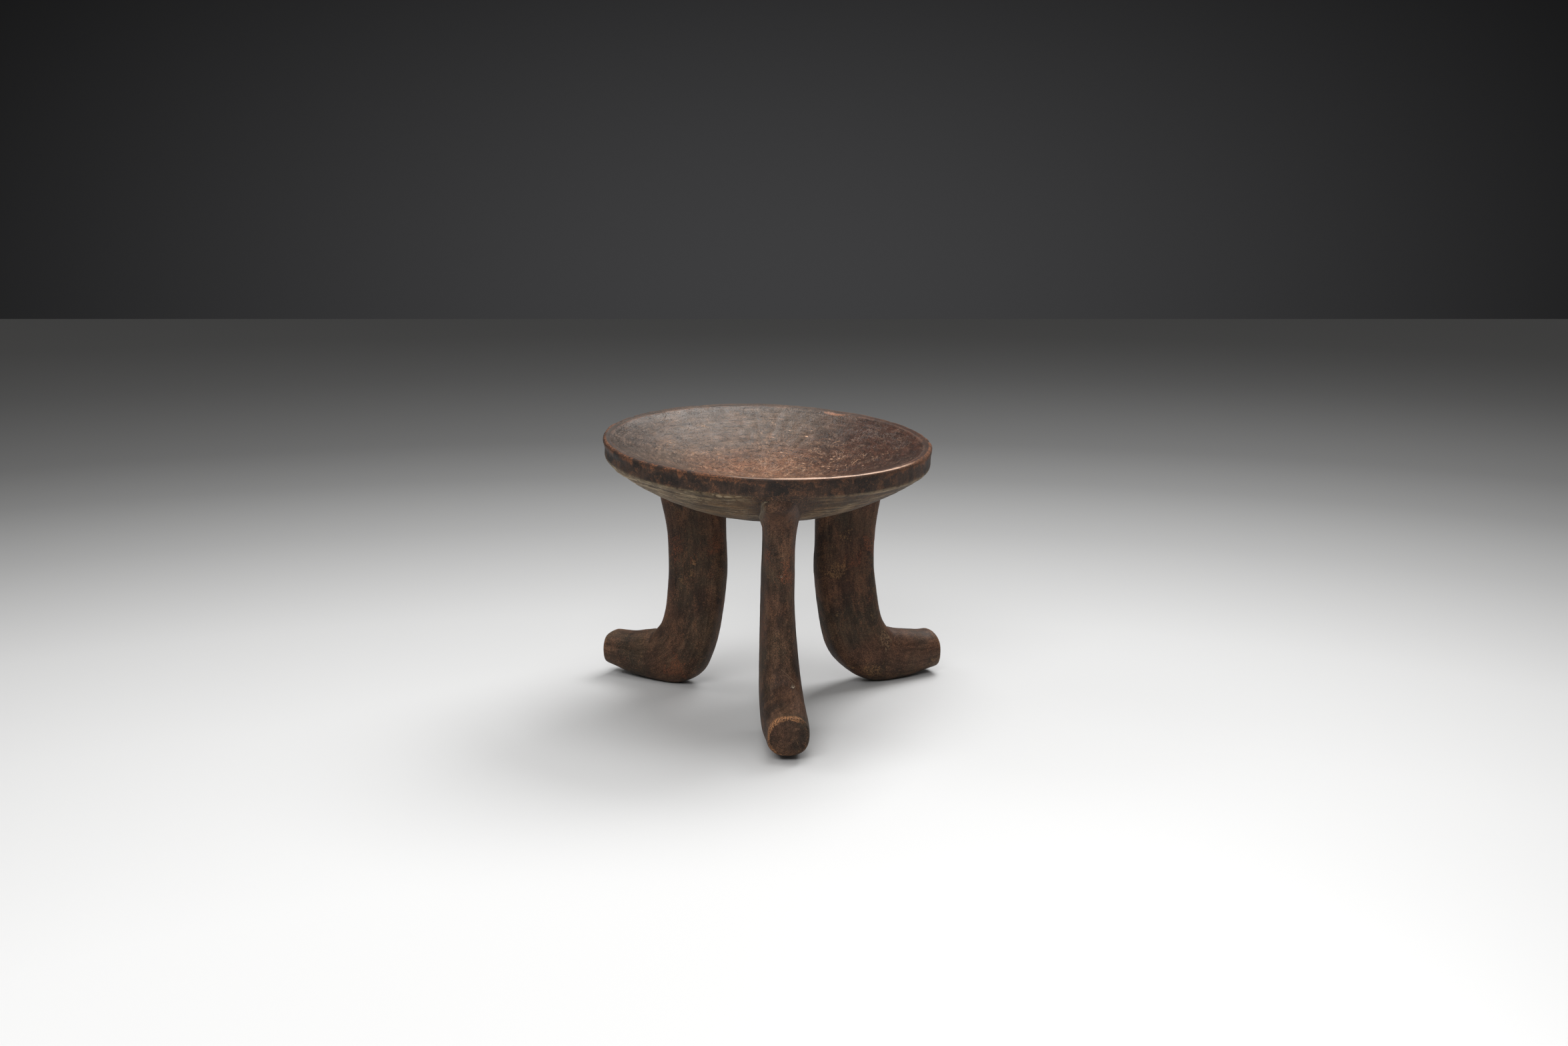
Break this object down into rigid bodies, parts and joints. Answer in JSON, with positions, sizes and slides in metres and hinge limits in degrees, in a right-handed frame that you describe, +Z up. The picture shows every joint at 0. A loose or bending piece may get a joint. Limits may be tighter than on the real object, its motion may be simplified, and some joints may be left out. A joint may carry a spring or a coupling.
{
  "type": "stool",
  "caption": "Carved hardwood tripod stool with a round dished seat on heavy legs that curve out into blunt feet.",
  "frame": {"origin": "on the floor, under the middle of the box that the whole stool fills", "axes": "+Z up, -Y towards the front leg, +X to the right of someone who faces that leg from the front"},
  "size_m": [0.4104, 0.4129, 0.3212],
  "materials": {
    "seat_wood": "dark hand-carved hardwood, waxed by use to a soft sheen, worn to red-brown in the hollow and along the rim",
    "leg_wood": "dark hand-carved hardwood with a dull patina, rubbed to rust brown on the edges"
  },
  "bodies": {
    "root": {"seat": "seat_wood", "front_leg": "leg_wood", "left_leg": "leg_wood", "right_leg": "leg_wood"}
  },
  "joints": []
}
